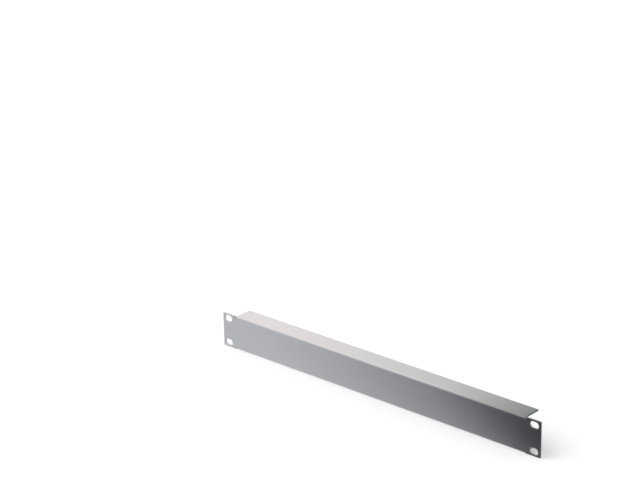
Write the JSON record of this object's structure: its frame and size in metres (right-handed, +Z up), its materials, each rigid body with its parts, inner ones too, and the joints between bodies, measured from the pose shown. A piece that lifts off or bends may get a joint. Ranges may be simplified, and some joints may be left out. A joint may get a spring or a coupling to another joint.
{
  "type": "rack blanking panel",
  "caption": "Blanking panel for a 19 inch rack: a flat sheet front folded back along its top and bottom edges, with flat slotted ears for the rack screws.",
  "frame": {"origin": "middle of the four rack slots, on the rear plane of the ears, which meets the rack", "axes": "+X along the panel, +Y from the front of the panel into the rack, +Z up"},
  "size_m": [0.4826, 0.025, 0.0436],
  "materials": {
    "sheet": "satin, clear anodised"
  },
  "bodies": {
    "root": {"blanking_panel": "sheet"}
  },
  "joints": []
}
